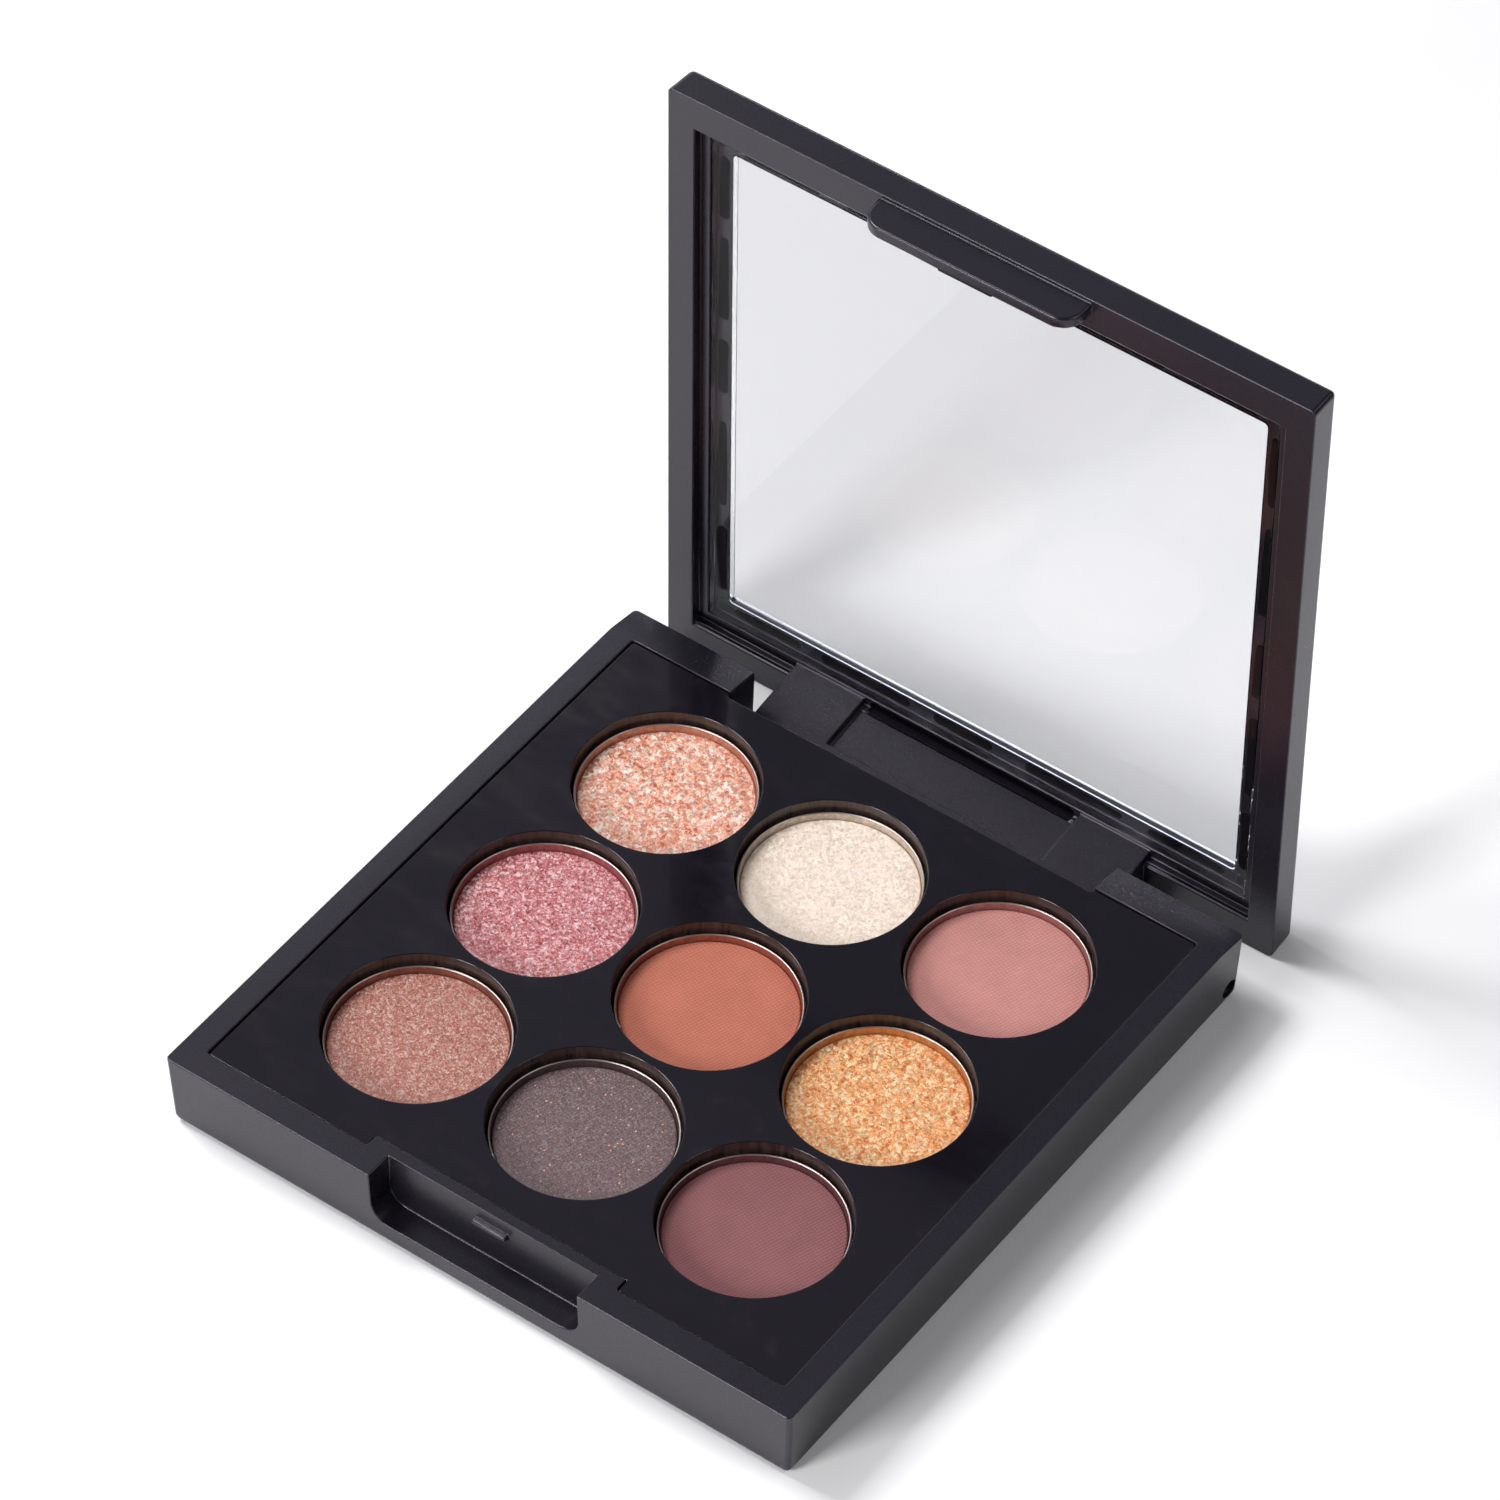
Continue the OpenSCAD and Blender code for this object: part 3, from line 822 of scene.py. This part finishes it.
def pans():
    """One drawn cup with a rolled lip, copied to each well."""
    bead = 0.5 * pan_wall
    height = pan_high.z - pan_low.z
    inner_r = pan_r - pan_draft - pan_wall - pan_inner_foot_r
    outer_r = pan_r - pan_draft - pan_outer_foot_r
    outline = [(0, pan_wall)]
    outline += arc(inner_r, pan_wall + pan_inner_foot_r, pan_inner_foot_r, -90, 0, 4)
    outline += arc(pan_r - bead, height - bead, bead, 180, 0, 8)
    outline += arc(outer_r, pan_outer_foot_r, pan_outer_foot_r, 0, -90, 5) + [(0, 0)]
    centre = Vector((pan_low.x + pan_r, pan_low.y + pan_r, pan_low.z))
    first = turned("pan", outline, centre, 120)
    for spot in PLACES:
        shift = pan_boxes[spot][0] - pan_low
        pan = copy_of(first, "pan_cup_" + spot)
        settle(pan, shift)
        paint(pan, aluminium, tints[spot])
        # below the lip, the inside of the cup carries its own powder
        middle = centre + shift
        rim = pan_boxes[spot][1].z - bead
        for face in pan.data.polygons:
            away = math.hypot(face.center.x - middle.x, face.center.y - middle.y)
            if away < pan_r - pan_wall * 0.8 and face.center.z < rim:
                face.material_index = 1
        place(pan, "base", "pan_aluminium", "pan_" + spot)
    bpy.data.objects.remove(first)


def powders():
    """One pressed cake, copied to each pan and given its own uneven top."""
    top = cake_high.z - cake_low.z
    radius = powder_r - cake_play
    flat = radius - cake_shoulder_r
    outline = [(0, top), (flat, top)]
    outline += arc(flat, top - cake_shoulder_r, cake_shoulder_r, 90, 0, 4)[1:]
    outline += [(radius - cake_draft, 0), (0, 0)]
    centre = Vector((cake_low.x + powder_r, cake_low.y + powder_r, cake_low.z))
    first = turned("cake", outline, centre, 256, cake_rings)
    for spot in PLACES:
        cake = copy_of(first, "pressed_powder_" + spot)
        settle(cake, powder_boxes[spot][0] - cake_low)
        coarse = spot in SPARKLES and SPARKLES[spot]["tilt"] > 0.3
        uneven_top(cake, spot, *(COARSE_TOP if coarse else FINE_TOP))
        paint(cake, powder_materials[spot])
        place(cake, "base", SLOTS[spot], "powder_" + spot)
    bpy.data.objects.remove(first)


def uneven_top(cake, spot, height, size):
    """Pushes the top of a cake down unevenly with procedural clouds."""
    group = cake.vertex_groups.new(name="top")
    skin_z = cake_high.z - cake_skin_t
    group.add([v.index for v in cake.data.vertices if v.co.z > skin_z], 1.0, "REPLACE")
    clouds = bpy.data.textures.new("clouds_" + spot, "CLOUDS")
    clouds.noise_scale = size
    clouds.noise_depth = 2
    apply_modifier(cake, "DISPLACE", texture=clouds, texture_coords="GLOBAL", direction="Z",
                   strength=height, mid_level=1.0, vertex_group="top")


def glue_dots():
    """Set glue under the tray's posts and under the pans."""
    under_posts = [(x * pan_pitch / 2, y * pan_pitch / 2) for x in (-1, 1) for y in (-1, 1)]
    under_pans = [(x * pan_pitch, y * pan_pitch) for y in (-1, 0, 1) for x in (-1, 0, 1)]
    for node, spots, radius in (("tray_glue", under_posts, tray_glue_r),
                                ("pan_glue", under_pans, pan_r / 3)):
        low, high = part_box(node)
        dots = []
        for x, y in spots:
            dots.append(rod("dot", (x, y, (low.z + high.z) / 2), radius, high.z - low.z, "Z", 40))
            round_edges(dots[-1], lambda a, b: near(a.z, b.z), glue_edge_r, 2)
        whole = joined(node + "_dots", dots)
        paint(whole, glue)
        place(whole, "base", "glue", node)


def hinge_pins():
    """Two steel pins with rounded ends."""
    for name in ("left", "right"):
        low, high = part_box("hinge_pin_" + name)
        pin = rod("pin_wire_" + name, (low + high) / 2, pin_r, high.x - low.x, "X", 48)
        round_edges(pin, lambda a, b: near(a.x, b.x), pin_edge_r, 3)
        work_on(pin)
        bpy.ops.object.shade_smooth_by_angle(angle=math.radians(50))
        paint(pin, steel)
        place(pin, "base", "pin_steel", "hinge_pin_" + name)


# ---------------------------------------------------------------- lid
def block_face(z):
    """Where the leaning front of the hinge block is at a height."""
    return block_front + (lid_z - z) * math.tan(block_lean)


def wedge(name, x, top, bottom, front, back):
    """A block whose front and back lean: both are functions of height."""
    piece = box(name, (-x, front(top), bottom), (x, back(top), top))
    for side in (front, back):
        pick(piece, "EDGE", lambda a, b: (level_at(bottom)(a, b) and near(a.y, side(top))
                                          and near(a.y, b.y)))
        bpy.ops.transform.translate(value=(0, side(bottom) - side(top), 0))
        done()
    return piece


def hinge_block():
    """Block that fills the gap between the ears: a barrel below and a recess in front."""
    block = wedge("hinge_block", block_x, shelf_z, hinge.z, block_face,
                  lambda z: hinge.y + barrel_r)
    # above the seam the lid's own wall takes the place of the block's back
    cut(block, box("wall_room", (-half_w, half_d - past, lid_z),
                   (half_w, half_d + past, shelf_z + past)))
    join_on(block, rod("barrel", (0, hinge.y, hinge.z), barrel_r, 2 * block_x, "X", 64))
    recess = wedge("recess", recess_x, shelf_z + past, recess_foot,
                   lambda z: block_face(z) - past, lambda z: block_face(z) + recess_depth)
    round_edges(recess, lambda a, b: upright(a, b) and a.y > block_face(a.z), recess_corner_r, 4)
    cut(block, recess)
    return block


def latch_tab():
    """Rounded tab that drops into the thumb notch."""
    tab = box("tab", (-tab_x, tab_y[0], tab_z), (tab_x, tab_y[1], lid_z + past))
    round_edges(tab, lambda a, b: level_at(tab_z)(a, b) and near(a.x, b.x), tab_corner_r, 8)
    round_edges(tab, lambda a, b: near(a.y, tab_y[0]) and near(b.y, tab_y[0]), tab_edge_r, 4)
    return tab


def latch_ridge():
    """Ridge on the back of the tab that passes the catch bump."""
    ridge = box("ridge", (-ridge_x, ridge_y[0], ridge_z[0]), (ridge_x, ridge_y[1], ridge_z[1]))
    round_edges(ridge, lambda a, b: a.y > tab_y[1] and b.y > tab_y[1], ridge_edge_r, 2)
    return ridge


def lid_frame():
    """Lid with its stepped window opening, hinge block, bores and latch tab."""
    low, high = Vector((-half_w, -half_d, lid_z)), Vector((half_w, half_d, lid_top))
    lid = leaning_block("lid_shell", low, high, lid_draft, lid_top, lid_edge_r)
    below = lid_z - past
    mouth = box("mouth", (-rim_x, -rim_y, below), (rim_x, rim_y, shelf_z))
    join_on(mouth, box("step", (-rim_x, rim_y - past, below),
                       (rim_x, rim_y + mouth_step, lid_z + mouth_step)))
    cut(lid, mouth)
    cut(lid, box("pocket", (-pocket_x, -pocket_y, below), (pocket_x, pocket_y, ledge_z)))
    window = box("window", (-window_x, -window_y, below), (window_x, window_y, lid_top + past))
    round_edges(window, upright, window_corner_r, 4)
    cut(lid, window)
    join_on(lid, hinge_block())
    slot = box("mould_slot", (-slot_x, slot_y[0], slot_z[0]), (slot_x, slot_y[1], slot_z[1]))
    round_edges(slot, upright, slot_corner_r, 5)
    cut(lid, slot)
    for side in (-1, 1):
        centre = (side * (block_x + past - bore_l / 2), hinge.y, hinge.z)
        cut(lid, rod("bore", centre, pin_r + pin_play, bore_l, "X", 48))
    join_on(lid, latch_tab())
    join_on(lid, latch_ridge())
    finish_edges(lid, case_edge_r)
    turn_open(lid)
    paint(lid, satin)
    place(lid, "lid", "case_plastic", "lid_frame")


def window_pane():
    """Clear pane: a flange on the shelf and a raised field that fills the window."""
    x, y = pocket_x - pane_play, pocket_y - pane_play
    pane = box("pane", (-x, -y, flange_z[0]), (x, y, flange_z[1]))
    x, y = window_x - pane_play, window_y - pane_play
    raised = box("raised", (-x, -y, flange_z[1] - flange_overlap), (x, y, lid_top - pane_play))
    round_edges(raised, upright, window_corner_r, 4)
    join_on(pane, raised)
    finish_edges(pane, pane_edge_r, 2)
    paint(pane, clear, painted_edge_highlight)
    # the broken edge nearest the hinge gets an opaque pale finish, a painted highlight along its whole
    # length
    for face in pane.data.polygons:
        if face.normal.z > 0.2 and face.normal.y > 0.2 and near(face.center.y, y, 0.3 * MM):
            face.material_index = 1
    turn_open(pane)
    place(pane, "lid", "clear_plastic", "window_pane")


def window_glue():
    """Beads of glue on the ledge, each a little different in length and width."""
    chance = random.Random(5)
    beads = []
    for turn in range(4):
        away = (pocket_x if turn % 2 else pocket_y) - ledge_w / 2
        for centre, length in BEADS:
            bead = rod("bead", (0, 0, 0), bead_r, bead_t, "Z", 24)
            for side in (-1, 1):
                pick(bead, "EDGE", lambda a, b: a.x * side > 1e-7 and b.x * side > 1e-7)
                reach = (length * MM / 2 - bead_r) * chance.uniform(0.95, 1.0)
                bpy.ops.transform.translate(value=(side * reach, 0, 0))
                bpy.ops.transform.resize(value=(1, chance.uniform(0.75, 1.15), 1),
                                         center_override=(0, 0, 0))
                done()
            angle = turn * math.pi / 2
            spot = Vector((centre * MM, -away, ledge_z - bead_drop))
            settle(bead, Matrix.Rotation(angle, 4, "Z") @ spot, angle)
            beads.append(bead)
    glued = joined("glue_beads", beads)
    turn_open(glued)
    paint(glued, window_adhesive)
    place(glued, "lid", "window_adhesive", "window_glue")


base_case()
pan_tray()
pans()
powders()
glue_dots()
hinge_pins()
lid_frame()
window_pane()
window_glue()


# ---------------------------------------------------------------- floor, lights and camera
def paper_floor():
    """Matt white sheet under the palette."""
    nothing_selected()
    bpy.ops.mesh.primitive_plane_add(size=6, location=(0, 0, 0))
    floor = bpy.context.object
    floor.name = "floor"
    paper = Recipe("floor_paper")
    paper.set("Base Color", paper.mix(paper.noise(0.4), (0.86, 0.86, 0.86), (0.88, 0.88, 0.88)))
    paper.shader.inputs["Roughness"].default_value = 0.9
    paper.shader.inputs["Specular IOR Level"].default_value = 0.1
    paint(floor, paper.material)


def soft_light(name, spot, size, watts):
    """A rectangular lamp that points at the middle of the palette."""
    lamp = bpy.data.lights.new(name, "AREA")
    lamp.shape = "RECTANGLE"
    lamp.size, lamp.size_y = size
    lamp.energy = watts
    holder = bpy.data.objects.new(name, lamp)
    holder.location = spot
    holder.rotation_euler = (-Vector(spot)).to_track_quat("-Z", "Y").to_euler()
    bpy.context.scene.collection.objects.link(holder)


def studio_room():
    """Room light that is brighter towards the left than towards the right."""
    world = bpy.data.worlds.new("studio")
    bpy.context.scene.world = world
    world.use_nodes = True
    nodes, links = world.node_tree.nodes, world.node_tree.links
    direction = nodes.new("ShaderNodeTexCoord").outputs["Generated"]
    axes = nodes.new("ShaderNodeSeparateXYZ")
    level = nodes.new("ShaderNodeMapRange")
    level.interpolation_type = "SMOOTHSTEP"
    left, right, bright, dim = -1.0, 0.1, 0.70, 0.06
    for socket, number in (("From Min", left), ("From Max", right), ("To Min", bright),
                           ("To Max", dim)):
        level.inputs[socket].default_value = number
    links.new(direction, axes.inputs[0])
    links.new(axes.outputs["X"], level.inputs["Value"])
    links.new(level.outputs["Result"], nodes["Background"].inputs["Strength"])
    nodes["Background"].inputs["Color"].default_value = (0.88, 0.86, 1.0, 1)


def camera():
    """Long lens that looks down at the open palette from the front right."""
    azimuth, elevation, roll = (math.radians(turn) for turn in (35.739, 47.023, 0.627))
    distance = 840.88 * MM
    target = Vector((-1.418, 8.758, 38.614)) * MM
    lens = bpy.data.cameras.new("camera")
    lens.sensor_width = 36
    lens.lens = 197.2
    lens.clip_start = 0.01
    eye = bpy.data.objects.new("camera", lens)
    way = Vector((math.sin(azimuth) * math.cos(elevation),
                  -math.cos(azimuth) * math.cos(elevation), math.sin(elevation)))
    eye.location = target + distance * way
    level_view = (-way).to_track_quat("-Z", "Y").to_matrix()
    eye.rotation_euler = (level_view @ Matrix.Rotation(roll, 3, "Z")).to_euler()
    bpy.context.scene.collection.objects.link(eye)
    bpy.context.scene.camera = eye


paper_floor()
# name, place, width and height in metres, and watts
soft_light("key", (-0.46, -0.02, 0.64), (0.22, 0.22), 4.1)
soft_light("front", (-0.22, -0.80, 0.44), (0.30, 0.30), 7.4)
soft_light("card", (-0.28, 0.26, 0.27), (0.10, 0.10), 0.09)
soft_light("fill", (0.50, 0.05, 0.45), (0.30, 0.30), 0.9)
soft_light("glint", (-0.22, -0.055, 0.50), (0.03, 0.14), 0.10)
soft_light("edge", (-0.30, 0.62, 0.28), (0.05, 0.05), 0.12)
soft_light("rim", (0.42, 0.50, 0.62), (0.30, 0.30), 0.5)
studio_room()
camera()
bpy.context.scene.view_settings.view_transform = "Standard"
